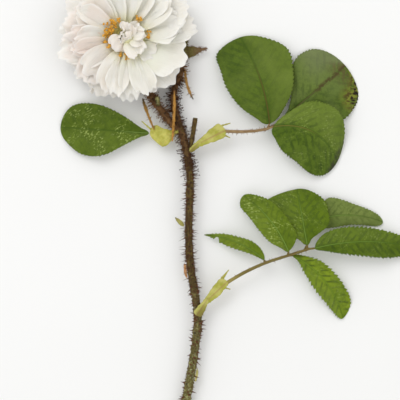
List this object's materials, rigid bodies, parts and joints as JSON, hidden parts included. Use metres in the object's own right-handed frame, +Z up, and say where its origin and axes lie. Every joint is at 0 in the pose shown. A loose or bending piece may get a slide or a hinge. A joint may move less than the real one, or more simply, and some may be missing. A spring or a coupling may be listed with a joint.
{
  "type": "cut rose",
  "caption": "Cut garden rose lying flat: open double white bloom on a bristly cane with compound toothed leaves, a side bud, a cut shoot, dry bracts and scales.",
  "frame": {"origin": "on the table, below the middle of the whole lying rose", "axes": "+Z up from the table, +Y along the cane from its cut end to the bloom, +X to the compound leaves"},
  "size_m": [0.1953, 0.266, 0.0272],
  "materials": {
    "petal": "matte",
    "stamen": "matte",
    "calyx": "matte",
    "cane": "matte",
    "leaf_stalk": "satin",
    "leaf": "satin",
    "stipule": "satin",
    "dry": "matte"
  },
  "bodies": {
    "root": {"bloom_petals": "petal", "bloom_stamens": "stamen", "bloom_calyx": "calyx", "side_bud": "calyx", "cane": "cane", "upper_leaf_stalk": "leaf_stalk", "lower_leaf_stalk": "leaf_stalk", "upper_leaflet_left": "leaf", "upper_leaflet_end": "leaf", "upper_leaflet_right": "leaf", "lower_leaflet_small": "leaf", "lower_leaflet_left": "leaf", "lower_leaflet_right": "leaf", "lower_leaflet_upper": "leaf", "lower_leaflet_side": "leaf", "lower_leaflet_end": "leaf", "single_leaf": "leaf", "single_leaf_stipule": "stipule", "dry_bract_left": "dry", "dry_bract_middle": "dry", "dry_bract_right": "dry", "cane_scale_upper": "dry", "cane_scale_middle": "dry", "cane_scale_lower": "dry"}
  },
  "joints": []
}
